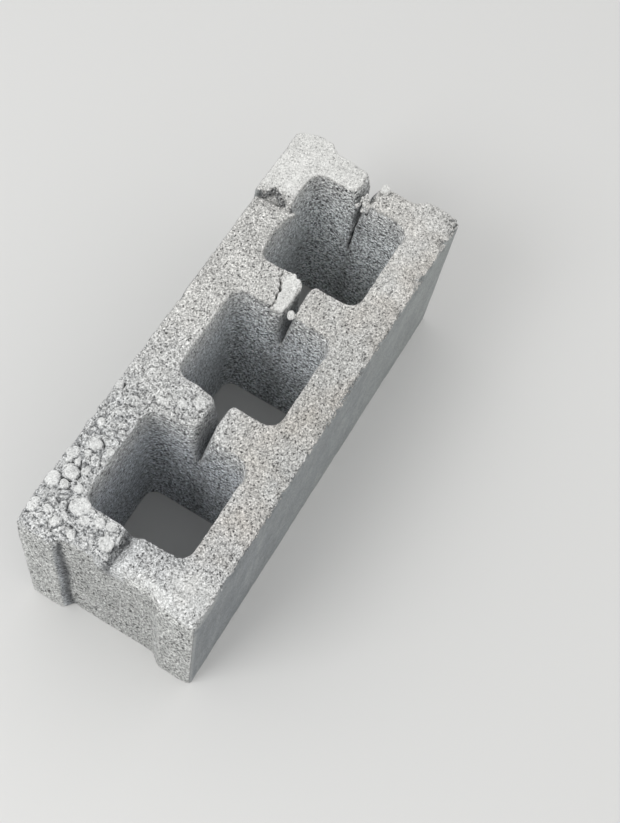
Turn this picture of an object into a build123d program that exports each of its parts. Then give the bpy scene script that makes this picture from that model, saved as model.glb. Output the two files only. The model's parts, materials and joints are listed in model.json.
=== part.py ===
"""Hollow concrete building block: one cast piece with three open cores.

X runs along the block, Y across it and Z up. The origin is the middle of the bed face it stands on.
The near end is -X, the left shell is +Y.
"""
import os

from build123d import *

# Outside of the block
length = 400.0
width = 150.0
height = 165.0

# Walls around the cores, measured at the open top
shell = 31.0
inner_web = 33.0
near_end_web = 38.0  # to the outside of the flanges
far_end_web = 32.0

# Cores: open shafts from the top to the bed, a little tighter at the bed
core_count = 3
core_corner_radius = 12.0
core_draft_angle = 0.4

# Shallow recess in each end, between two full-height flanges
recess_width = 90.0
recess_side_run = 9.0  # how much of the width each sloped side takes
recess_depth = 7.5

# Groove that the core bar of the mould left along the middle of every web, narrowing downwards
groove_mouth = 12.0
groove_floor = 1.0
groove_lip_radius = 8.0
groove_foot_radius = 2.0  # the lips get tighter towards the floor
near_web_groove_depth = 12.0  # at the core; the floor rises from there to the recess
near_web_groove_end_depth = 5.0
inner_web_groove_depth = 58.0
far_web_groove_depth = 18.0

# Thin slit torn on below the groove in the web at +X
slit_mouth = 3.0
slit_floor = 0.8
slit_edge_radius = 1.0
slit_depth = 76.0

# Open crack across the left shell, beside the core at +X: upright on its far side
crack_from_far_end = 63.0
crack_mouth = 9.0
crack_foot = 1.0
crack_depth = 13.0

# Edges
end_edge_radius = 3.0
rim_edge_radius = 1.5

overrun = 2.0  # how far a cut passes the face that it opens
near_end = -length / 2
far_end = length / 2
core_width = width - 2 * shell
core_length = (length - near_end_web - far_end_web - (core_count - 1) * inner_web) / core_count
core_pitch = core_length + inner_web
first_core_x = near_end + near_end_web + core_length / 2
core_x = [first_core_x + place * core_pitch for place in range(core_count)]
recess_floor_width = recess_width - 2 * recess_side_run
crack_x = far_end - crack_from_far_end
first_core_face = near_end + near_end_web
rising_floor = (near_web_groove_depth - near_web_groove_end_depth) / (near_end_web - recess_depth)
hollow_inset = 1.5  # the groove's cuts stay this far inside the cores and recesses
groove_gaps = (groove_mouth, groove_floor)
groove_radii = (groove_lip_radius, groove_foot_radius)
slit_gaps = (slit_mouth, slit_floor)

with BuildPart() as concrete_block:
    # Body, with the recess in both ends
    with BuildSketch() as outline:
        Rectangle(length, width)
        for end in (-1, 1):
            face_x = end * length / 2
            floor_x = face_x - end * recess_depth
            outside_x = face_x + end * overrun
            with BuildLine():
                Polyline(
                    (outside_x, -recess_width / 2),
                    (face_x, -recess_width / 2),
                    (floor_x, -recess_floor_width / 2),
                    (floor_x, recess_floor_width / 2),
                    (face_x, recess_width / 2),
                    (outside_x, recess_width / 2),
                    close=True,
                )
            make_face(mode=Mode.SUBTRACT)
        fillet(outline.vertices(), end_edge_radius)
    extrude(amount=height)
    fillet(concrete_block.faces().sort_by(Axis.Z)[-1].edges(), rim_edge_radius)

    # Cores
    with BuildSketch(Plane.XY.offset(height)):
        with Locations(*[(x, 0) for x in core_x]):
            RectangleRounded(core_length, core_width, core_corner_radius)
    extrude(amount=-height, taper=core_draft_angle, mode=Mode.SUBTRACT)

    # Core-bar groove, web by web, and the slit below it. Each cut reaches into the hollows on both
    # sides of its web, so that its lips can be rounded there.
    for start_x, end_x, depth, slope, top_gap, floor_gap, top_radius, floor_radius in (
        (near_end, core_x[0], near_web_groove_depth, rising_floor, *groove_gaps, *groove_radii),
        (core_x[0], core_x[-1], inner_web_groove_depth, 0, *groove_gaps, *groove_radii),
        (core_x[-1], far_end, far_web_groove_depth, 0, *groove_gaps, *groove_radii),
        (core_x[-1], far_end, slit_depth, 0, *slit_gaps, slit_edge_radius, slit_edge_radius),
    ):
        top = Plane((first_core_face, 0, height))
        floor = Plane((first_core_face, 0, height - depth), x_dir=(1, 0, -slope), z_dir=(slope, 0, 1))
        start = start_x - first_core_face
        end = end_x - first_core_face
        for level, gap, radius in ((top, top_gap, top_radius), (floor, floor_gap, floor_radius)):
            with BuildSketch(level) as groove:
                with Locations(((start + end) / 2, 0)):
                    Rectangle(end - start, gap)
                with Locations(*[(x - first_core_face, 0) for x in core_x if start_x <= x <= end_x]):
                    Rectangle(core_length - 2 * hollow_inset, core_width / 2)
                with Locations(*[(x - first_core_face, 0) for x in (start_x, end_x) if x not in core_x]):
                    Rectangle(2 * (recess_depth - hollow_inset), core_width / 2)
                lips = [
                    corner
                    for corner in groove.vertices()
                    if start < corner.X < end and abs(abs(corner.Y) - gap / 2) < 0.01
                ]
                fillet(lips, radius)
        loft(ruled=True, mode=Mode.SUBTRACT)

    # Open crack in the left shell
    with BuildSketch(Plane.XZ.offset(-width / 2 - overrun)):
        with BuildLine():
            Polyline(
                (crack_x - crack_mouth, height),
                (crack_x, height),
                (crack_x - crack_foot, height - crack_depth),
                close=True,
            )
        make_face()
    extrude(amount=shell + 2 * overrun, mode=Mode.SUBTRACT)

concrete_block.part.label = "concrete_block"

os.makedirs("parts", exist_ok=True)
export_step(concrete_block.part, "parts/concrete_block.step")
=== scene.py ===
"""Looks of the hollow concrete block: crumbly top, worn edges, broken corner and grainy finish."""
import json
from math import radians
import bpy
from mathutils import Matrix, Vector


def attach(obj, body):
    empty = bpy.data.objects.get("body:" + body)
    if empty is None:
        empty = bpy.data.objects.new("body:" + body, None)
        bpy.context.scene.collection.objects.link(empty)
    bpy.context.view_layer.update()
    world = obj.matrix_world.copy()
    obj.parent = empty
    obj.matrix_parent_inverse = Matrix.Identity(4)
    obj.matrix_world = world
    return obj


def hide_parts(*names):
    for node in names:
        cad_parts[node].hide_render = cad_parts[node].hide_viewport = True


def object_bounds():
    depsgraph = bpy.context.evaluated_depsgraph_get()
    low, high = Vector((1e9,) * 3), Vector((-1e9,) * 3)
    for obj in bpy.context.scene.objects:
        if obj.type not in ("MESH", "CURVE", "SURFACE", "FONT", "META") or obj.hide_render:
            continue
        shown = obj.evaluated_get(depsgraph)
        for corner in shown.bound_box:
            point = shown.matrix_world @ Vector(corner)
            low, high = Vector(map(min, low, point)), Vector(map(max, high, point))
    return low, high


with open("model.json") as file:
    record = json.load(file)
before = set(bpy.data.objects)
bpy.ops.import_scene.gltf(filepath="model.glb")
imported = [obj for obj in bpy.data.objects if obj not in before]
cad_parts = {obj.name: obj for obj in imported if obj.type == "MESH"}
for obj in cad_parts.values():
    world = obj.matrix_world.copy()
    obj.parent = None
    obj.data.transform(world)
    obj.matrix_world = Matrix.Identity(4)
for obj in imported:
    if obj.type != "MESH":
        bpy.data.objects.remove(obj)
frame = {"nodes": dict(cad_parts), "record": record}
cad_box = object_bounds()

from types import SimpleNamespace

import bmesh
import bpy
import numpy as np
from mathutils import Euler, Matrix, Vector, noise

# Lengths are in millimetres unless a line says otherwise: X along the block, Y across it, Z up from its bed
MM = 0.001
BLOCK = "concrete_block"
low, high = (np.array(corner) / MM for corner in cad_box)
height = high[2]
openings = {entry["name"]: entry["box_m"] for entry in frame["record"]["physics"]["openings"]}
core_boxes = [openings[name] for name in ("core_near", "core_middle", "core_far")]
core_half = 44.0  # half a core's length in X
far_walls = [(box[0][0] + box[1][0]) / (2 * MM) + core_half for box in core_boxes]

# Camera, its roll in degrees
camera_place = (-413.2, -181.4, 1056.7)
camera_target = (23.0, -46.3, 82.5)
camera_roll = 14.5
camera_lens = 58.07
film_width = 36.0

# Floor, light and sky, in metres and watts
floor_half = 15.0
floor_grey = (0.66, 0.66, 0.65, 1)
lamp_place = (-1.4, 0.7, 1.7)
lamp_target = (0, 0, 0.08)
lamp_size = 1.0
lamp_power = 18
sky_white = (1, 1, 1, 1)
sky_strength = 0.90

# Mesh
voxel = 1.0
triangle_budget = 192_000

# Shares from which a place counts at all, and from which a point is inside it
least = 0.01
halfway = 0.5

# How far in X the near end face and its recess reach
near_end = low[0] + 14

# Patches in plan: from x to x and how soft the border is, then the same in y
chip_patch = ((42, 84, 1), (-5, 24, 1))
crack_patch = ((120, 142, 1), (42, 80, 1))
pit_patch = ((123, 140, 3), (52, 73, 3))
far_rim_patch = ((131, 139, 3), (44, 57, 4))
near_rim_patch = ((-167, -160, 3), (-44, -14, 4))
lobe_patch = ((-78, -38, 4), (-3, 18, 4))
slab_tip_patch = ((165, 195, 6), (-3, 16, 4))
mouth_patch = ((163, 176, 1), (-6, 3, 1))
# The near bevel and corner patches are painted paler, as painted light on the rounded edge
near_bevel_patch = ((-203, -190, 12), (-74, -10, 6))
near_corner_patch = ((-200, -172, 14), (-70, -44, 12))
near_groove_patch = ((low[0], -158, 3), (0.5, 5.5, 1.5))

# Worn rims of the webs, along X from a core's far wall and in y: from, to and how soft the border is
rim_from_wall = (-14, 9, 4)
rim_across = (-46, 40, 5)

# Webs with a groove, from x to x
grooved_webs = ((-78, -37), (43, 84), (164, high[0]))

# Big clods on the top: middle in plan, radius, side on which a crevice opens in degrees, share that is open
seen_clods = [
    (-166.0, 41.7, 7.9, 164, 0.60), (-148.2, 61.8, 6.6, 254, 0.60), (-158.4, 70.8, 6.8, 276, 0.35),
    (-121.2, 59.3, 5.4, 301, 0.35), (-134.7, 70.1, 5.8, 344, 0.30), (-139.2, 62.4, 2.8, 200, 0.80),
    (-141.3, 68.8, 2.8, 250, 0.30), (-158.0, 61.0, 4.2, 240, 0.35), (-169.4, 23.0, 4.9, 290, 0.15),
    (-173.5, 33.8, 4.2, 270, 0.00), (-179.6, 10.7, 6.2, 250, 0.25), (-155.6, 49.7, 4.2, 200, 0.15),
    (-129.7, 60.1, 3.2, 270, 0.00), (-142.7, 54.0, 3.6, 280, 0.00), (-184.7, 70.8, 4.2, 0, 0.00),
    (-178.7, 70.4, 3.4, 0, 0.00), (-185.0, 50.4, 4.5, 0, 0.00), (-168.0, 14.8, 4.0, 250, 0.15),
    (-179.5, 59.7, 3.7, 0, 0.00), (-186.9, 35.5, 3.7, 0, 0.00), (-71.3, 72.1, 4.2, 280, 0.25),
    (-120.7, 46.8, 3.6, 0, 0.00), (-104.0, 66.0, 4.0, 280, 0.20), (-52.0, 14.0, 6.5, 200, 0.15),
    (-60.0, 24.5, 4.6, 230, 0.20),
]

# Mound of clods beside the second groove: middle and reach in plan
mound_middle = (-54, 18)
mound_reach = (17, 14)

# Stones stuck on or wedged in: middle, half sizes and turn in plan
stuck_stones = [
    ((48.4, -4.2, 163.6), (4.3, 3.2, 3.6), 31),
    ((189.0, -10.2, 166.2), (4.6, 4.0, 3.4), 10),
]

# Crumbs caught in the mouth of the groove at +X: from, to, how far they stray and how many
crumb_start = (165.5, -1.6, 157.5)
crumb_end = (172.5, -1.4, 163.5)
crumb_stray = (1.8, 2.4, 2.0)
crumb_count = 48

# Open crack beside the far core, in plan: x of its two edges against y
crack_line_y = (40, 43.5, 47.2, 51.4, 55.1, 59.3, 62.7, 65.7, 69.8, 76, 80)
crack_near_x = (128.0, 127.8, 132.4, 130.7, 127.7, 127.3, 127.8, 128.1, 127.2, 125.6, 125.6)
crack_far_x = (130.0, 130.7, 134.9, 133.3, 135.8, 138.2, 139.6, 133.5, 129.9, 128.2, 128.2)

# The same crack in the CAD part, from x to x, and how far the slab beyond it has moved
crack_edge = (128.0, 137.0)
slab_shift = (3.5, 2.3, 3.0)

# The slab's corner is gone: which way the cut faces in plan and how far from the middle it is
cut_way = (0.883, 0.469)
cut_reach = 203.8

# Loose piece in the web before the far core, in plan: the crack behind it, then its side in the groove
chip_crack = (
    (79.8, 21.5), (75.2, 19.3), (71.3, 19.7), (68.2, 16.6), (63.0, 14.0),
    (57.6, 13.4), (54.2, 12.8), (51.4, 11.7), (46.8, 11.7), (43.0, 13.0),
)
chip_side = (
    (46.5, 2.6), (52.0, 1.6), (58.3, 1.1), (65.6, 1.2), (73.4, 0.7),
    (77.4, 3.7), (77.2, 7.3), (79.8, 10.3), (78.3, 15.0),
)

# The pale middle line of the loose piece and its half width, then the height and lean of its three outlines
chip_spine = ((50, 6), (60, 7), (74, 10))
chip_half = 6.5
chip_middle_y = 12
chip_levels = ((128.0, 1.4), (150.0, 0.2), (166.6, 0.0))

# Knobs on its rim: middle in plan and radius
chip_knobs = ((77.6, 19.6, 1.6), (77.4, 17.0, 1.8), (78.8, 14.6, 1.6), (79.0, 10.8, 1.9), (77.0, 5.6, 2.0))

# Crack under the pebble at the far end, and the pit on the rim of the far core: middle and reach in plan
pebble_crack = ((184.0, -9.0), (186.0, -13.5), (190.0, -15.0))
rim_pit_middle = (130.5, 43.2)
rim_pit_reach = (2.3, 1.9)

# How deep the cracks, the slit, the furrow and the dip beside the crack go, and how the rim bulges there
chip_crack_depth = 8.0
pebble_crack_depth = 3.0
rim_pit_depth = 5.0
slit_depth = 8.0
furrow_depth = 3.0
dip_depth = 2.5
bulge_reach = 5.0
bulge_middle = 130
bulge_length = 7.5

# Slit down the web at +X: how far it strays sideways, by height, and where its mesh is finer
slit_heights = (80, 97, 104, 111, 118, 125, 132, 138, 152, 165)
slit_strays = (2.6, 2.7, 2.2, 2.5, 1.9, 2.2, 1.3, 1.2, 0.4, 0.0)
slit_middle = (169, 2)
slit_reach = (5, 6)
slit_foot = 84

# Furrow in the near recess, by height: its middle in y and its half width
furrow_middles = ((0, 40, 165), (39.5, 41.0, 41.0))
furrow_halves = ((0, 120, 160), (3.5, 3.3, 2.2))

# Nicks along the edges: middle, radius and depth
nicks = [
    ((-198, -75, 165), 7.0, 2.4), ((-170, -75, 165), 6.0, 1.6), ((-128, -75, 165), 5.0, 1.4),
    ((-96.7, -75, 165), 8.0, 3.0), ((-40.3, -75, 165), 6.0, 1.8), ((-12, -75, 165), 8.0, 3.0),
    ((5, -75, 165), 11.0, 5.5), ((27, -75, 165), 12.0, 3.2), ((60, -75, 165), 6.0, 1.6),
    ((98.8, -75, 165), 7.0, 2.4), ((132.9, -75, 165), 10.0, 3.2), ((150, -75, 165), 8.0, 2.4),
    ((170.5, -75, 165), 6.0, 6.0), ((186, -75, 165), 7.0, 3.6), ((198, -75, 165), 9.0, 2.6),
    ((200, -30, 165), 7.0, 2.0), ((-198, 75, 165), 9.0, 2.8), ((104, 44, 165), 9.0, 2.0),
    ((47, 44, 165), 5.0, 2.6), ((84, 41, 165), 5.0, 1.8), ((-152, 44, 165), 6.0, 1.6),
    ((75.5, -19, 165), 4.0, 2.0),
]

# Nicks at random, on each long edge of the bed and of the top and on each edge of an end
bed_nicks = 9
top_nicks = 16
end_nicks = 4
nick_margin = 2

# Colours, in linear RGB
top_near = (0.555, 0.565, 0.568, 1)
top_far = (0.59, 0.585, 0.565, 1)
top_right = (0.50, 0.50, 0.485, 1)
top_beige = (0.51, 0.46, 0.40, 1)
top_stain = (0.33, 0.32, 0.295, 1)
# The long sides' dark grey is painted shade, darkest at the near end
shaded_side_near = (0.232, 0.247, 0.258, 1)
shaded_side_far = (0.31, 0.327, 0.324, 1)
side_streak = (0.38, 0.39, 0.385, 1)
side_blotch = (0.20, 0.213, 0.223, 1)
# Core walls: a bluish tint painted for sky-lit shade, and paler than the top to lift the shade inside the
# cores; greyer at the mouth
core_near = (0.565, 0.59, 0.62, 1)
core_far = (0.70, 0.725, 0.735, 1)
core_mouth = (0.575, 0.58, 0.575, 1)
end_grey = (0.44, 0.445, 0.435, 1)
# Tone colours: pale for broken faces, stones and clods and for painted light, dark for gaps and for painted
# shade
pale_break_and_highlight = (0.76, 0.765, 0.745, 1)
dark_gap_and_shade = (0.075, 0.08, 0.085, 1)
# Dark for the painted shade in hollows
hollow_shade = (0.07, 0.073, 0.078, 1)
knob_pale = (0.82, 0.825, 0.815, 1)
rim_pale = (0.74, 0.745, 0.73, 1)
# Dark for the painted shade in inner corners
corner_shade = (0.16, 0.165, 0.17, 1)


def smooth_step(values, start, end):
    """0 at start, 1 at end, with a soft ramp between."""
    t = np.clip((values - start) / (end - start), 0.0, 1.0)
    return t * t * (3.0 - 2.0 * t)


def near_top(z, start, end):
    """0 at one depth under the top face, 1 at the other, with a soft ramp between."""
    return smooth_step(z, height - start, height - end)


def band(values, start, end, soft):
    """1 between start and end, with soft ramps outside."""
    return smooth_step(values, start - soft, start) * (1.0 - smooth_step(values, end, end + soft))


def patch(points, along, across):
    """1 inside a patch in plan, with soft borders."""
    return band(points[:, 0], *along) * band(points[:, 1], *across)


def bell(distance, reach):
    """1 where the distance is 0, falling off softly over the reach."""
    return np.exp(-((distance / reach) ** 2))


def soft_noise(points, size, seed, where=None):
    """Smooth noise from about -1 to 1, with features of the given size; 0 outside the places asked for."""
    shifted = points / size + 31.7 * seed
    if where is None:
        return np.array([noise.noise(place) for place in shifted.tolist()])
    values = np.zeros(len(points))
    values[where] = [noise.noise(place) for place in shifted[where].tolist()]
    return values


def noise_vectors(points, size, seed, where=None):
    return np.stack([soft_noise(points, size, seed + axis, where) for axis in range(3)], axis=1)


def cell_hash(cells, seed):
    """A repeatable random number from 0 to 1 for each whole-number cell."""
    mixed = cells[:, 0] * 374761393 + cells[:, 1] * 668265263 + cells[:, 2] * 1440662683 + seed * 1274126177
    mixed = mixed & 0xFFFFFFFF
    mixed = ((mixed ^ (mixed >> 13)) * 1274126177) & 0xFFFFFFFF
    mixed = ((mixed ^ (mixed >> 16)) * 2246822519) & 0xFFFFFFFF
    return ((mixed ^ (mixed >> 15)) & 0xFFFFFF) / 0xFFFFFF


def grains(points, size, seed):
    """Nearest and second nearest grain centre, in grain sizes, and a random number for the nearest grain."""
    scaled = points / size
    home = np.floor(scaled).astype(np.int64)
    first = np.full(len(points), 9.0)
    second = np.full(len(points), 9.0)
    name = np.zeros(len(points))
    for step in np.ndindex(3, 3, 3):
        cells = home + (np.array(step) - 1)
        centre = cells + np.stack([cell_hash(cells, seed + axis) for axis in (1, 2, 3)], axis=1)
        distance = np.linalg.norm(scaled - centre, axis=1)
        nearer = distance < first
        second = np.where(nearer, first, np.minimum(second, distance))
        name = np.where(nearer, cell_hash(cells, seed + 4), name)
        first = np.where(nearer, distance, first)
    return first, second, name


def crumbs(points, size, seed, step, dome, share_open):
    """One size of crumb: their heights, domed and each a little different, and the open gaps between them."""
    first, second, name = grains(points, size, seed)
    opened = smooth_step(soft_noise(points, 0.9 * size, seed + 5), share_open, share_open + 0.25)
    gap = opened * bell(0.5 * size * (second - first), 0.7)
    return step * (name - 0.5) - dome * (np.minimum(first, 1.0) ** 2 - 0.25), gap


def near_path(points, path):
    """Distance in plan from each point to a line through the given corners."""
    flat = points[:, :2]
    nearest = np.full(len(flat), 1e3)
    for start, end in zip(np.array(path)[:-1], np.array(path)[1:]):
        run = end - start
        share = np.clip(((flat - start) @ run) / (run @ run), 0.0, 1.0)
        nearest = np.minimum(nearest, np.linalg.norm(flat - start - share[:, None] * run, axis=1))
    return nearest


def points_of(mesh):
    flat = np.empty(len(mesh.vertices) * 3)
    mesh.vertices.foreach_get("co", flat)
    return flat.reshape(-1, 3) / MM


def normals_of(mesh):
    flat = np.empty(len(mesh.vertices) * 3)
    mesh.vertex_normals.foreach_get("vector", flat)
    return flat.reshape(-1, 3)


def move_points(mesh, points):
    mesh.vertices.foreach_set("co", (points * MM).ravel())
    mesh.update()


def unit(vectors):
    return vectors / np.maximum(np.linalg.norm(vectors, axis=1, keepdims=True), 1e-9)


def spread(mesh, values, rounds):
    """Values averaged over neighbouring vertices, a few times over."""
    ends = np.empty(len(mesh.edges) * 2, dtype=np.int64)
    mesh.edges.foreach_get("vertices", ends)
    a, b = ends.reshape(-1, 2).T
    count = np.bincount(a, minlength=len(values)) + np.bincount(b, minlength=len(values))
    columns = [column.copy() for column in values.reshape(len(values), -1).T]
    for _ in range(rounds):
        columns = [
            (np.bincount(a, weights=column[b], minlength=len(column))
             + np.bincount(b, weights=column[a], minlength=len(column))) / count
            for column in columns
        ]
    return np.stack(columns, axis=1).reshape(values.shape)


def with_modifier(obj, kind, **settings):
    """The object's mesh replaced by the result of one modifier."""
    modifier = obj.modifiers.new(kind.lower(), kind)
    for setting, value in settings.items():
        setattr(modifier, setting, value)
    shaped = bpy.data.meshes.new_from_object(obj.evaluated_get(bpy.context.evaluated_depsgraph_get()))
    obj.modifiers.remove(modifier)
    obj.data = shaped
    return shaped


def into_voxels(obj):
    return with_modifier(obj, "REMESH", mode="VOXEL", voxel_size=voxel * MM, use_smooth_shade=True)


def smoothed(obj, rounds):
    """The object's points, each drawn to its neighbours' middle as often as asked."""
    plain = obj.data
    points = points_of(with_modifier(obj, "SMOOTH", factor=1.0, iterations=rounds))
    obj.data = plain
    return points


def wear(points):
    """How much each point gives way to slight, medium and wide rounding, from 0 to 1."""
    x, y, z = points.T
    rough = 0.8 + 0.5 * soft_noise(points, 9.0, 21)
    slight = 0.55 * np.clip(0.9 + 0.8 * soft_noise(points, 5.0, 22), 0.1, 1.3)
    top = near_top(z, 30, 8)
    right_half = smooth_step(-y, -2, 4)
    off_near_groove = np.maximum(smooth_step(np.abs(y), 6, 12), smooth_step(x, -158, -150))
    web_rims = sum(band(x - wall, *rim_from_wall) for wall in far_walls) * band(y, *rim_across)
    web_rims *= top * off_near_groove
    lobe_end = patch(points, *lobe_patch) * top
    slab_end = patch(points, *slab_tip_patch) * top
    near_bevel = (1.0 - smooth_step(x, low[0] + 10, low[0] + 22)) * top * smooth_step(np.abs(y), 4, 9)
    medium = web_rims * (0.40 + 0.55 * right_half) + near_bevel * (0.85 + 0.15 * right_half)
    medium += 0.9 * lobe_end + 0.9 * slab_end
    wide = (web_rims * 0.75 + near_bevel * 0.8) * right_half + 0.35 * lobe_end
    return slight, np.clip(medium * rough, 0, 1), np.clip(wide * rough, 0, 1)


def random_nicks():
    """More nicks at random places along the outer edges of the bed and the top."""
    random = np.random.default_rng(3)
    found = []
    for side in (-1, 1):
        for z_at, count in ((0, bed_nicks), (height, top_nicks)):
            for x_at in random.uniform(low[0] + nick_margin, high[0] - nick_margin, count):
                middle = (x_at, side * high[1], z_at)
                found.append((middle, random.uniform(3, 7), random.uniform(0.5, 2.0)))
            for y_at in random.uniform(low[1], high[1], end_nicks):
                middle = (side * high[0], y_at, z_at)
                found.append((middle, random.uniform(3, 6), random.uniform(0.6, 1.8)))
    return found


def wear_edges(obj):
    """Edges worn round, more where the block is more worn, and nicked here and there."""
    points = points_of(obj.data)
    slight, medium, wide = wear(points)
    rounder = smoothed(obj, 60)
    worn = points + slight[:, None] * (smoothed(obj, 8) - points)
    worn += medium[:, None] * (rounder - worn)
    worn += wide[:, None] * (smoothed(obj, 170) - worn)
    inward = unit(rounder - points)
    uneven = 1.0 + 0.7 * soft_noise(points, 4.5, 23)
    for middle, radius, depth in nicks + random_nicks():
        distance = np.linalg.norm((points - middle) * (1, 1, 1.3), axis=1) * uneven
        near = np.flatnonzero(distance < radius)
        worn[near] += inward[near] * (depth * (1 - (distance[near] / radius) ** 2))[:, None]
    return worn


def open_crack(points, across):
    """How far the edges of the crack move along X to their real outline."""
    x, y, z = points.T
    reach = (1.0 - smooth_step(np.abs(x - sum(crack_edge) / 2), 5, 34)) * smooth_step(y, 34, 44)
    reach *= near_top(z, 70, 22)
    along_crack = points * (0.2, 1, 1)
    wander = 0.9 * soft_noise(along_crack, 4.0, 31, reach > 0)
    wander += 1.5 * (across - 0.5) * soft_noise(along_crack, 2.8, 35, reach > 0)
    near_pull = np.interp(y, crack_line_y, crack_near_x) - crack_edge[0]
    far_pull = np.interp(y, crack_line_y, crack_far_x) - slab_shift[0] - crack_edge[1]
    return reach * ((1 - across) * near_pull + across * far_pull + wander)


def on_slab(points):
    """1 on the slab beyond the crack, with a soft foot."""
    x, y, z = points.T
    slab = smooth_step(x, crack_edge[1] - 2.2, crack_edge[1] - 0.4) * smooth_step(y, -0.6, 0.9)
    slab *= near_top(z, 80, 14)
    return slab * (1.0 - band(x, 100, 162, 2) * (1.0 - smooth_step(y, 20, 34)))


def past_cut(points):
    """How far each point stands past the face where the slab's corner has broken off."""
    x, y, z = points.T
    over = x * cut_way[0] + y * cut_way[1] - cut_reach - 9.0 * smooth_step(height - z, 8, 34)
    return np.maximum(over - 0.8 * soft_noise(points, 6.0, 33, x > 170), 0.0) * 0.85


def furrow(points):
    """The upright furrow in the left side of the near recess, narrow at the top."""
    x, y, z = points.T
    middle = np.interp(z, *furrow_middles) + 0.6 * np.sin(z / 17.0)
    on_end = 1 - smooth_step(x, low[0] + 9, low[0] + 14)
    return bell(y - middle, np.interp(z, *furrow_halves)) * on_end * (1 - near_top(z, 10, -4))


def break_corner(points):
    """The crack opened, the slab beyond it moved and without its corner, the slit astray and the furrow."""
    x, y, z = points.T
    across = np.clip((x - crack_edge[0]) / (crack_edge[1] - crack_edge[0]), 0.0, 1.0)
    cut_back = past_cut(points)[:, None] * (*cut_way, 0)
    moved = points - cut_back + on_slab(points)[:, None] * slab_shift
    moved[:, 0] += open_crack(points, across)

    # The near side of the crack slopes down into it
    dip = smooth_step(x, 116, 128) * (1 - across) * band(y, 54, 70, 5) * near_top(z, 16, 4)
    moved[:, 2] -= dip_depth * dip

    # Next to the far core the crack is filled with crumbs, and the rim bulges
    filled = patch(points, (*crack_edge, 1), (44.9, 50, 0.8)) * near_top(z, 18, 14)
    moved[:, 2] += filled * np.maximum(height - 1.2 - z, 0)
    bulge = bell(x - bulge_middle, bulge_length) * band(y, 38, 48, 8) * near_top(z, 26, 4)
    moved[:, 1] -= bulge_reach * bulge

    # The slit strays, and the slope in the near recess is a furrow
    web = smooth_step(x, 150, 164) * (1 - smooth_step(np.abs(y), 4, 24))
    moved[:, 1] += web * np.interp(z, slit_heights, slit_strays)
    moved[:, 0] += furrow_depth * furrow(points)
    return moved


def add_loose_piece(shape):
    """The loose piece beside the groove: one closed lump from three outlines above each other."""
    outline = list(chip_side) + [(x, y - 0.6) for x, y in chip_crack[1:]]
    rings = []
    for z, lean in chip_levels:
        corners = [(x, y + lean * (chip_middle_y - y) / chip_middle_y, z) for x, y in outline]
        rings.append([shape.verts.new(Vector(corner) * MM) for corner in corners])
    for lower, upper in zip(rings, rings[1:]):
        for place in range(len(outline)):
            after = (place + 1) % len(outline)
            shape.faces.new((lower[place], lower[after], upper[after], upper[place]))
    shape.faces.new(rings[-1])
    shape.faces.new(reversed(rings[0]))


def add_stones(mesh):
    """Stuck stones, knobs, caught crumbs and the loose piece, as closed lumps that run into the block."""
    shape = bmesh.new()
    shape.from_mesh(mesh)
    random = np.random.default_rng(8)
    lumps = [(middle, half_sizes, Euler((0, 0, radians(turn)))) for middle, half_sizes, turn in stuck_stones]
    lumps += [((x, y, height), (radius, radius, radius), Euler()) for x, y, radius in chip_knobs]
    start, end = np.array(crumb_start), np.array(crumb_end)
    for share in np.linspace(0, 1, crumb_count):
        middle = start + share * (end - start) + random.normal(0, crumb_stray)
        lumps.append((middle, random.uniform(0.9, 2.0, 3), Euler(random.uniform(0, 3, 3))))
    for middle, half_sizes, turn in lumps:
        place = Matrix.LocRotScale(Vector(middle) * MM, turn, Vector(half_sizes) * MM)
        bmesh.ops.create_icosphere(shape, subdivisions=3, radius=1.0, matrix=place)
    add_loose_piece(shape)
    shape.to_mesh(mesh)
    shape.free()


def refine(mesh):
    """Finer mesh where the surface is coarse or cracked."""
    points = points_of(mesh)
    x, _, z = points.T
    off_slit = np.abs(points[:, :2] - slit_middle)
    wanted = (z > height - 8) | ((x < near_end) & (z > height - 18))
    wanted |= np.all(off_slit < slit_reach, axis=1) & (z > slit_foot)
    wanted |= (patch(points, *crack_patch) > halfway) & (z > height - 24)
    wanted |= (patch(points, *chip_patch) > halfway) & (z > height - 22)
    shape = bmesh.new()
    shape.from_mesh(mesh)
    edges = [edge for edge in shape.edges if wanted[edge.verts[0].index] and wanted[edge.verts[1].index]]
    bmesh.ops.subdivide_edges(shape, edges=edges, cuts=1, use_grid_fill=True)
    shape.to_mesh(mesh)
    shape.free()


def drop_loose_bits(mesh):
    """Only the largest piece that hangs together is kept, so that no crumb floats and no face is stray."""
    shape = bmesh.new()
    shape.from_mesh(mesh)
    unseen = set(shape.faces)
    pieces = []
    while unseen:
        piece = []
        front = [unseen.pop()]
        while front:
            face = front.pop()
            piece.append(face)
            neighbours = {other for edge in face.edges for other in edge.link_faces} & unseen
            unseen -= neighbours
            front.extend(neighbours)
        pieces.append(piece)
    pieces.sort(key=len)
    loose = [face for piece in pieces[:-1] for face in piece]
    bmesh.ops.delete(shape, geom=loose, context="FACES")
    shape.to_mesh(mesh)
    shape.free()


def find_places(points, normals):
    """How strongly each kind of place holds at every point, from 0 to 1."""
    x, y, z = points.T
    up = smooth_step(normals[:, 2], 0.25, 0.7)
    top = near_top(z, 18, 5)
    return SimpleNamespace(
        up=up,
        top=top,
        pit=patch(points, *pit_patch) * near_top(z, 18, 12) * (1 - smooth_step(up, 0.5, 0.95)),
        corner=smooth_step(x, 184, 194) * smooth_step(-y, 58, 70) * top,
        chip=band(x, 44, 82, 2) * (near_path(points, chip_spine) < chip_half) * near_top(z, 14, 2),
        crumbly=(patch(points, *far_rim_patch) + patch(points, *near_rim_patch)) * top,
        mouth=patch(points, *mouth_patch) * near_top(z, 12, 5),
    )


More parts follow.
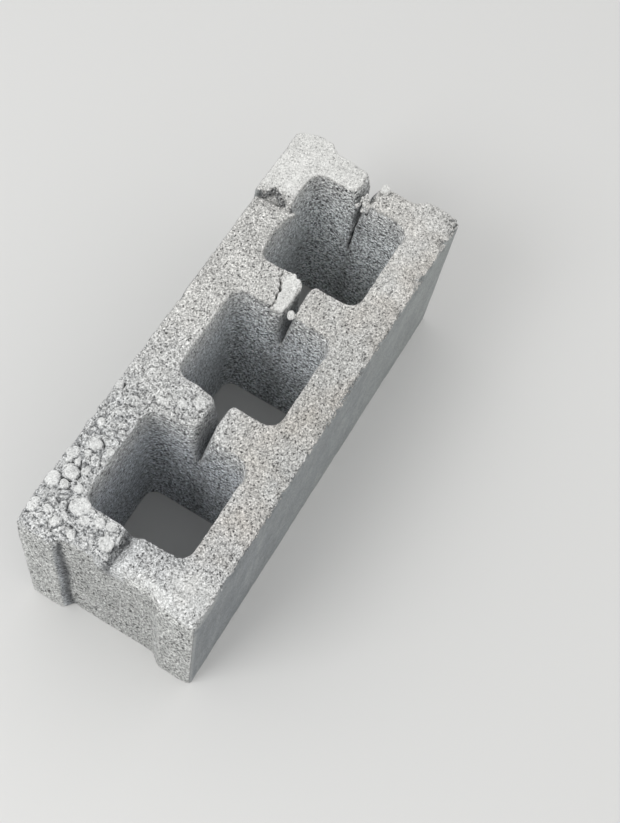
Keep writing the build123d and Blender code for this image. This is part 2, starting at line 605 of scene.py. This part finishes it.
def one_clod(points, bend, number):
    """Where one of the seen clods is, how high it stands, and the crevice that opens beside it."""
    cx, cy, radius, open_towards, open_share = seen_clods[number]
    offset = points[:, :2] + 0.35 * bend[:, :2] - (cx, cy)
    out = np.linalg.norm(offset, axis=1)
    direction = offset / np.maximum(out, 0.1)[:, None]
    around = np.column_stack([direction * 1.1, np.full(len(points), 7.3 * number)])
    rim = radius * (1 + 0.22 * soft_noise(around, 1.0, 19))
    inside = 1.0 - smooth_step(out, 0.74 * rim, rim)
    turn = np.cos(np.arctan2(offset[:, 1], offset[:, 0]) - radians(open_towards))
    turn += 0.35 * soft_noise(points, 3.0, 18)
    opened = smooth_step(turn, 1 - 2 * open_share, 1.5 - 2 * open_share)
    dome = 0.7 + 0.10 * radius - 0.9 * (out / rim) ** 2
    return inside, dome, bell(out - 1.05 * rim, 0.85) * opened


def clod_relief(points):
    """Height of the coarse, crumbly surface, its dark gaps and its pale clods."""
    bend = 1.2 * noise_vectors(points, 6.5, 11) + 0.35 * noise_vectors(points, 2.2, 14)
    bent = points + bend
    large, large_gap = crumbs(bent, 9.0, 21, 1.2, 0.8, 0.22)
    middle, middle_gap = crumbs(bent, 5.0, 22, 1.0, 1.0, 0.08)
    small, small_gap = crumbs(bent, 2.8, 23, 0.45, 0.5, 0.15)
    dots = smooth_step(soft_noise(points, 2.0, 26), 0.36, 0.56)
    gap = np.maximum.reduce([large_gap, middle_gap, 0.6 * small_gap, 0.8 * dots])
    level = 0.9 * soft_noise(points, 11.0, 17) + large + middle + small - 1.9 * gap
    pale = smooth_step(large + middle, 0.2, 0.9) * 0.6
    broken = 0.35 + 0.9 * smooth_step(soft_noise(points, 2.6, 27), -0.25, 0.25)
    for number, (cx, cy, radius, *_) in enumerate(seen_clods):
        near = np.flatnonzero(np.max(np.abs(points[:, :2] - (cx, cy)), axis=1) < 1.6 * radius)
        inside, dome, crevice = one_clod(points[near], bend[near], number)
        crevice *= broken[near]
        level[near] = (1 - inside) * level[near] + inside * (dome + 0.18 * level[near]) - 2.6 * crevice
        gap[near] = np.maximum((1 - 0.8 * inside) * gap[near], crevice)
        pale[near] = np.maximum(pale[near], inside)
    return level, gap, pale


def add_clods(points, at, relief, tone):
    """Clods on the left of the top, thinning out towards the far end, added to the relief and the tone."""
    x, y, _ = points.T
    outer = np.maximum(smooth_step(np.abs(y), 70, 73), 1 - smooth_step(x, low[0] + 4, low[0] + 9))
    mound = np.exp(-(((points[:, :2] - mound_middle) / mound_reach) ** 2).sum(axis=1))
    wandering = x + 8 * soft_noise(points, 20.0, 24, at.top > 0)
    coarse = np.maximum(1 - smooth_step(wandering, -100, 40), mound)
    coarse *= smooth_step(y, -3, 5) * at.top * np.maximum(at.up, 0.8 * outer)
    there = np.flatnonzero(coarse > least)
    level, gap, pale = clod_relief(points[there])
    relief[there] += coarse[there] * level
    # The gaps and crevices are darkened with painted shade
    tone[there] += coarse[there] * (0.38 + 0.32 * pale - 0.75 * gap)


def add_sand(points, at, relief, tone):
    """Sand and pits on the top, rougher in the crack, at the far right corner and on worn edges."""
    there = np.flatnonzero((at.top > least) | (at.pit > least))
    local = points[there]
    here = SimpleNamespace(**{name: values[there] for name, values in vars(at).items()})
    nearest, _, name = grains(local + 0.8 * noise_vectors(local, 2.5, 41), 2.1, 44)
    sand = (0.25 - nearest ** 2) + 0.5 * (name - 0.5)
    pits = smooth_step(soft_noise(local, 1.9, 51), 0.42, 0.62)
    pits += smooth_step(soft_noise(local, 5.0, 52), 0.55, 0.7)
    holes = smooth_step(soft_noise(local, 1.9, 53), 0.0, 0.35)
    lumps, lump_gap = crumbs(local, 3.4, 54, 0.5, 0.9, 0.1)
    edge = 4 * here.up * (1 - here.up)
    bumpy = 1.5 * here.pit + 1.3 * here.corner + 0.6 * here.chip + 0.7 * here.mouth + here.crumbly
    bumpy = np.clip(bumpy, 0, 1.6) + 0.8 * edge
    rise = (0.32 + 0.7 * bumpy) * sand - 0.7 * pits + bumpy * lumps
    rise += 0.4 * soft_noise(local, 13.0, 61) + 0.35 * soft_noise(local, 4.5, 63)
    rise -= (1.4 * here.corner + 0.8 * here.pit + 0.9 * here.crumbly) * holes
    relief[there] += np.maximum(here.top * np.maximum(here.up, 0.7), here.pit) * rise
    # Holes and the gaps between lumps are darkened with painted shade
    tone[there] -= (0.7 * here.corner + 0.7 * here.pit + 0.4 * here.crumbly) * holes
    tone[there] -= 0.25 * (here.chip + edge) * lump_gap


def carve_cracks(points, plain, at):
    """Thin cracks and the slit, carved into the points. Plain are the points as they were without relief."""
    x, y, z = plain.T
    by_chip = (patch(plain, *chip_patch) > halfway) & (z > height - 20)
    ragged = points + 0.7 * noise_vectors(points, 3.5, 71, by_chip)
    ragged += 0.6 * noise_vectors(points, 1.6, 81, by_chip)
    width = 0.35 + 0.85 * smooth_step(soft_noise(points, 4.5, 75, by_chip), -0.15, 0.35)
    bridged = 0.3 + 0.7 * smooth_step(soft_noise(points, 3.0, 76, by_chip), -0.35, 0.0)
    crack = bell(near_path(ragged, chip_crack), width) * bridged * near_top(z, 12, 4)
    under_pebble = bell(near_path(points, pebble_crack), 0.7) * at.top
    from_pit = (points[:, :2] - rim_pit_middle) / rim_pit_reach
    rim_pit = np.exp(-(from_pit ** 2).sum(axis=1)) * at.top
    points[:, 2] -= chip_crack_depth * crack + pebble_crack_depth * under_pebble + rim_pit_depth * rim_pit

    by_slit = (x > 160) & (np.abs(y) < 8)
    upright = points * (0, 1, 1)
    stray = np.interp(z, slit_heights, slit_strays)
    stray += 0.6 * soft_noise(upright, 5.0, 77, by_slit) + 0.8 * soft_noise(upright, 2.4, 78, by_slit)
    slit = by_slit * bell(y - stray, 0.75) * band(x, 162, 176, 1) * band(z, 98, 158, 10)
    points[:, 0] += slit_depth * slit
    return SimpleNamespace(crack=crack, rim_pit=rim_pit, slit=slit)


def shade(points, plain, at, cracks):
    """How much paler or darker than the rest the damaged and worn places are, with painted shade darkening
    pits, cracks, the slit, the grooves and the furrow, and painted light on the slab and the near bevel.
    """
    x, y, z = plain.T
    depth = height - z
    slab = smooth_step(x, 129, 138) * smooth_step(y, 0, 6) * at.top * (1 - at.pit) * (0.2 + 0.8 * at.up)
    bevel = np.maximum(patch(plain, *near_bevel_patch), patch(plain, *near_corner_patch)) * at.top
    recess = (x < near_end) * band(y, -34, 32, 3) * (1 - at.top)
    side_wall = smooth_step(depth, 2, 7) * (1 - smooth_step(at.up, 0.3, 0.8)) * band(y, -6, 6, 2)
    groove = side_wall * sum(band(x, *web, 4) for web in grooved_webs)
    near_groove = patch(plain, *near_groove_patch) * smooth_step(depth, 0.5, 4) * near_top(z, 24, 12)
    stones = sum(
        np.linalg.norm(points - middle, axis=1) < 1.15 * half_sizes[0]
        for middle, half_sizes, _ in stuck_stones
    )
    # Painted light: the slab paler on its upward faces and the near bevel paler; the chip, crumbs and stones
    # are paler of their own
    paler = 0.8 * at.chip + 0.25 * at.mouth + 0.75 * stones + 0.6 * slab + 0.45 * bevel
    # Painted shade: pits, cracks, the slit, the grooves and the furrow are darkened as shade falls in them,
    # the furrow partly dirt as well; the recess a little darker
    darker = 0.3 * at.pit + 0.9 * (cracks.slit + cracks.crack) + 1.4 * cracks.rim_pit
    darker += 0.4 * groove + 0.8 * near_groove + 0.1 * recess + furrow(points)
    return paler - darker


def add_marks(obj, tone):
    """Hollows and bulges at two scales, and how pale or dark each place is, painted shade and painted light
    included, kept with the mesh for the finish.
    """
    mesh = obj.data
    points = points_of(mesh)
    normals = normals_of(mesh)
    marks = {"tone": tone}
    for name, rounds, size in (("hollow", 6, 0.5), ("rim", 110, 2.5)):
        marks[name] = np.clip(np.einsum("ij,ij->i", points - smoothed(obj, rounds), normals) / size, -1, 1)
    for name, values in marks.items():
        mesh.attributes.new(name, "FLOAT", "POINT").data.foreach_set("value", values.astype(np.float32))


def make_block():
    """The one cast piece, worked up from the CAD node's mesh."""
    cast = bpy.data.objects.new("cast_block", frame["nodes"][BLOCK].data.copy())
    bpy.context.scene.collection.objects.link(cast)
    into_voxels(cast)
    move_points(cast.data, break_corner(wear_edges(cast)))
    add_stones(cast.data)
    mesh = into_voxels(cast)
    refine(mesh)

    plain = points_of(mesh)
    normals = unit(spread(mesh, normals_of(mesh), 4))
    at = find_places(plain, normals)
    relief = 0.22 * soft_noise(plain, 24.0, 62)
    tone = 0.12 * soft_noise(plain, 9.0, 66, at.top > 0)
    add_clods(plain, at, relief, tone)
    add_sand(plain, at, relief, tone)
    points = plain + normals * relief[:, None]
    cracks = carve_cracks(points, plain, at)
    move_points(mesh, points)
    tone += shade(points, plain, at, cracks)
    add_marks(cast, np.clip(tone, -1, 1))

    triangles = sum(len(face.vertices) - 2 for face in cast.data.polygons)
    mesh = with_modifier(cast, "DECIMATE", ratio=triangle_budget / triangles)
    drop_loose_bits(mesh)
    mesh.materials.clear()
    mesh.materials.append(concrete())
    return cast


class Net:
    """The nodes of one material. Each helper adds nodes and gives their output.

    Places on the block are in metres here, and sizes of features in millimetres.
    """

    def __init__(self, material):
        self.nodes = material.node_tree.nodes
        self.links = material.node_tree.links
        coordinates = self.add("ShaderNodeTexCoord").outputs
        self.where = coordinates["Object"]
        self.along, self.across, self.up = self.add("ShaderNodeSeparateXYZ", {0: self.where}).outputs
        facing = self.add("ShaderNodeSeparateXYZ", {0: coordinates["Normal"]}).outputs
        self.facing_side = self.math("ABSOLUTE", facing["Y"])
        self.facing_up = facing["Z"]
        self.from_middle = self.math("ABSOLUTE", self.across)

    def add(self, kind, inputs=None, **settings):
        """A node whose inputs are set to numbers or linked to outputs."""
        node = self.nodes.new(kind)
        for setting, value in settings.items():
            setattr(node, setting, value)
        for socket, value in (inputs or {}).items():
            if isinstance(value, bpy.types.NodeSocket):
                self.links.new(value, node.inputs[socket])
            else:
                node.inputs[socket].default_value = value
        return node

    def mark(self, name):
        return self.add("ShaderNodeAttribute", attribute_name=name).outputs["Fac"]

    def math(self, operation, a, b=0.0):
        return self.add("ShaderNodeMath", {0: a, 1: b}, operation=operation).outputs[0]

    def times(self, first, *others):
        for other in others:
            first = self.math("MULTIPLY", first, other)
        return first

    def ramp(self, value, start, end, at_start=0.0, at_end=1.0):
        inputs = {"Value": value, "From Min": start, "From Max": end, "To Min": at_start, "To Max": at_end}
        return self.add("ShaderNodeMapRange", inputs).outputs[0]

    def between(self, share, a, b):
        """From number a where the share is 0 to number b where it is 1."""
        return self.ramp(share, 0.0, 1.0, a, b)

    def mix(self, share, a, b, blend="MIX"):
        inputs = {0: share, 6: a, 7: b}
        return self.add("ShaderNodeMix", inputs, data_type="RGBA", blend_type=blend).outputs[2]

    def stretched(self, stretch, seed=0.0):
        inputs = {"Vector": self.where, "Location": (seed, seed, seed), "Scale": stretch}
        return self.add("ShaderNodeMapping", inputs).outputs[0]

    def speckle(self, size, detail, seed, stretch=(1, 1, 1)):
        """Noise with features of the given size."""
        place = self.stretched(stretch, seed)
        inputs = {"Vector": place, "Scale": 1 / (size * MM), "Detail": detail, "Roughness": 0.6}
        return self.add("ShaderNodeTexNoise", inputs).outputs[0]

    def sand(self, size, stretch):
        """Brightness and height of the sand grains and of the pinholes between them."""
        inputs = {"Vector": self.stretched(stretch), "Scale": 1 / (1.05 * size * MM)}
        cells = self.add("ShaderNodeTexVoronoi", inputs).outputs["Color"]
        own = self.add("ShaderNodeSeparateColor", {0: cells}).outputs[0]
        fine = self.speckle(1.5 * size, 2.0, 5.9, stretch)
        pinholes = self.speckle(2.2 * size, 1.0, 6.6, stretch)
        bright = self.times(
            self.ramp(own, 0.0, 1.0, 0.72, 1.28),
            self.ramp(fine, 0.32, 0.68, 0.72, 1.28),
            self.ramp(pinholes, 0.37, 0.29, 1.0, 0.45),
        )
        raised = self.math("ADD", self.times(fine, 0.9), self.ramp(pinholes, 0.45, 0.28, 0.6, 0.0))
        return bright, raised


def surfaces(net):
    """Where the open-grained skin of the top, the smooth long sides, the ends and the right half are."""
    ragged = net.ramp(net.speckle(3.5, 2.0, 2.2), 0.3, 0.7, -0.0012, 0.0012)
    scatter = net.ramp(net.speckle(1.5, 1.0, 4.4), 0.3, 0.7, -0.35, 0.35)
    side = net.ramp(net.math("ADD", net.from_middle, ragged), 0.0721, 0.0729)
    far_out = net.math("ABSOLUTE", net.along)
    end = net.times(net.ramp(far_out, 0.188, 0.192), net.ramp(net.facing_side, 0.85, 0.6))
    lifted = net.times(net.ramp(net.along, 0.130, 0.138), net.ramp(net.across, 0.0, 0.006))
    level = net.math("SUBTRACT", net.up, net.times(lifted, slab_shift[2] * MM))
    crown = net.times(net.ramp(level, 0.1605, 0.1640), net.ramp(side, 1.0, 0.0))
    near_groove = net.times(
        net.ramp(net.along, -0.158, -0.163),
        net.ramp(net.up, 0.143, 0.152),
        net.ramp(net.from_middle, 0.016, 0.010),
    )
    skin = net.math("MAXIMUM", net.math("MAXIMUM", crown, near_groove), net.ramp(net.facing_up, 0.35, 0.8))
    skin = net.ramp(net.math("ADD", skin, scatter), 0.35, 0.65)
    return SimpleNamespace(skin=skin, side=side, end=end, right=net.ramp(net.across, 0.0, -0.05))


def top_colour(net, on, place):
    """Grey, warmer towards the far end, with beige and stained patches on the right."""
    middle_part = net.times(net.ramp(place, -0.13, -0.05), net.ramp(place, 0.12, 0.04))
    colour = net.mix(net.ramp(place, -0.12, 0.02), top_near, top_far)
    colour = net.mix(net.times(on.right, net.between(middle_part, 0.2, 0.75)), colour, top_right)
    beige = net.times(net.ramp(net.speckle(60, 3.0, 7.7), 0.42, 0.68), on.right)
    colour = net.mix(net.times(beige, 0.5), colour, top_beige)
    stain = net.times(net.ramp(net.speckle(22, 4.0, 12.5), 0.50, 0.68), on.right, middle_part)
    return net.mix(net.times(stain, 0.45), colour, top_stain)


def shaded_side_colour(net, place):
    """Smooth and dark, paler towards the far end, with upright streaks and darker blotches. The dark grey,
    darkest at the near end, is painted shade.
    """
    colour = net.mix(net.ramp(place, -0.16, 0.16), shaded_side_near, shaded_side_far)
    streaks = net.ramp(net.speckle(9, 3.0, 21.3, (1, 1, 0.15)), 0.42, 0.72)
    colour = net.mix(net.times(streaks, 0.35), colour, side_streak)
    return net.mix(net.ramp(net.speckle(28, 4.0, 17.9), 0.45, 0.75, 0.0, 0.5), colour, side_blotch)


def plain_colour(net, on, tone):
    """Colour of every part without its grain, paler or darker by the tone, which also carries painted shade
    and painted light.
    """
    wobble = net.ramp(net.speckle(45, 3.0, 3.1), 0.3, 0.7, -0.03, 0.03)
    place = net.math("ADD", net.along, wobble)
    # The cores' bluish tint is painted shade, and their paleness is painted light
    core = net.mix(net.ramp(net.along, -0.12, 0.14), core_near, core_far)
    core = net.mix(net.ramp(net.up, 0.12, 0.16), core, core_mouth)
    walls = net.mix(on.end, net.mix(on.side, core, shaded_side_colour(net, place)), end_grey)
    colour = net.mix(on.skin, walls, top_colour(net, on, place))
    # Paler tone includes painted light, darker tone painted shade
    colour = net.mix(net.ramp(tone, 0.0, 1.0, 0.0, 0.8), colour, pale_break_and_highlight)
    return net.mix(net.ramp(tone, 0.0, -1.0, 0.0, 0.88), colour, dark_gap_and_shade)


def grain(net, on, tone):
    """Brightness and height of the sand, drawn out on the ends as the mould was lifted off."""
    top_bright, top_raised = net.sand(0.88, (1, 1, 1))
    core_bright, core_raised = net.sand(1.15, (0.9, 0.9, 1.1))
    end_bright, end_raised = net.sand(1.1, (1, 1, 0.6))
    bright = net.between(on.skin, net.between(on.end, core_bright, end_bright), top_bright)
    raised = net.between(on.skin, net.between(on.end, core_raised, end_raised), top_raised)
    on_core = net.ramp(net.facing_side, 0.5, 0.9, 2.3, 1.8)
    on_top = net.math("SUBTRACT", 1.42, net.times(on.right, net.ramp(net.along, 0.05, 0.15), 0.35))
    strength = net.between(on.end, net.between(on.side, on_core, 0.5), 1.7)
    strength = net.between(on.skin, strength, net.ramp(tone, 0.3, 0.65, on_top, 0.55))
    bright = net.math("ADD", net.times(net.math("SUBTRACT", bright, 1.0), strength), 1.0)
    clouds = net.ramp(net.speckle(16, 3.0, 8.3), 0.30, 0.70, 0.94, 1.06)
    wide_clouds = net.ramp(net.speckle(34, 4.0, 1.7), 0.30, 0.70, 0.93, 1.07)
    bright = net.math("MAXIMUM", net.times(bright, clouds, wide_clouds), 0.12)
    return bright, net.times(raised, strength)


def shade_and_wear(net, colour):
    """Painted shade in the hollows and inner corners, pale worn knobs and rims."""
    hollow = net.mark("hollow")
    rim = net.mark("rim")
    # Painted shade in the hollows
    colour = net.mix(net.ramp(hollow, -0.15, -1.0, 0.0, 0.6), colour, hollow_shade)
    colour = net.mix(net.ramp(hollow, 0.1, 0.8, 0.0, 0.2), colour, knob_pale)
    colour = net.mix(net.ramp(rim, 0.15, 1.0, 0.0, 0.25), colour, rim_pale)
    # Painted shade in the inner corners
    return net.mix(net.ramp(rim, -0.2, -1.0, 0.0, 0.45), colour, corner_shade)


def concrete():
    material = bpy.data.materials.new("concrete")
    material.use_nodes = True
    shader = material.node_tree.nodes["Principled BSDF"].inputs
    net = Net(material)
    tone = net.mark("tone")
    on = surfaces(net)
    bright, raised = grain(net, on, tone)
    grey = net.add("ShaderNodeCombineColor", {0: bright, 1: bright, 2: bright}).outputs[0]
    colour = net.mix(1.0, plain_colour(net, on, tone), grey, "MULTIPLY")
    bump = net.add("ShaderNodeBump", {"Height": raised, "Strength": 1.0, "Distance": 0.001})
    net.links.new(shade_and_wear(net, colour), shader["Base Color"])
    net.links.new(net.ramp(net.speckle(5.0, 3.0, 9.1), 0.3, 0.7, 0.82, 0.97), shader["Roughness"])
    net.links.new(bump.outputs[0], shader["Normal"])
    shader["Specular IOR Level"].default_value = 0.25
    return material


def make_camera():
    camera = bpy.data.objects.new("camera", bpy.data.cameras.new("camera"))
    bpy.context.scene.collection.objects.link(camera)
    place = Vector(camera_place) * MM
    towards = Vector(camera_target) * MM - place
    turn = towards.to_track_quat("-Z", "Y").to_matrix() @ Matrix.Rotation(radians(camera_roll), 3, "Z")
    camera.matrix_world = Matrix.Translation(place) @ turn.to_4x4()
    camera.data.lens = camera_lens
    camera.data.sensor_width = film_width
    bpy.context.scene.camera = camera


def make_stage():
    mesh = bpy.data.meshes.new("floor")
    corners = [(x * floor_half, y * floor_half, 0) for x, y in ((-1, -1), (1, -1), (1, 1), (-1, 1))]
    mesh.from_pydata(corners, [], [(0, 1, 2, 3)])
    floor = bpy.data.objects.new("floor", mesh)
    bpy.context.scene.collection.objects.link(floor)
    material = bpy.data.materials.new("floor")
    material.use_nodes = True
    shader = material.node_tree.nodes["Principled BSDF"].inputs
    shader["Base Color"].default_value = floor_grey
    shader["Roughness"].default_value = 0.9
    mesh.materials.append(material)


def make_light():
    world = bpy.data.worlds.new("world")
    bpy.context.scene.world = world
    world.use_nodes = True
    sky = world.node_tree.nodes["Background"].inputs
    sky["Color"].default_value = sky_white
    sky["Strength"].default_value = sky_strength
    lamp = bpy.data.lights.new("key", "AREA")
    lamp.size = lamp_size
    lamp.energy = lamp_power
    key = bpy.data.objects.new("key", lamp)
    bpy.context.scene.collection.objects.link(key)
    key.location = lamp_place
    key.rotation_euler = (Vector(lamp_target) - key.location).to_track_quat("-Z", "Y").to_euler()


bpy.context.scene.view_settings.view_transform = "Standard"
make_camera()
make_stage()
make_light()
block = make_block()
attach(block, "root")
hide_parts(BLOCK)
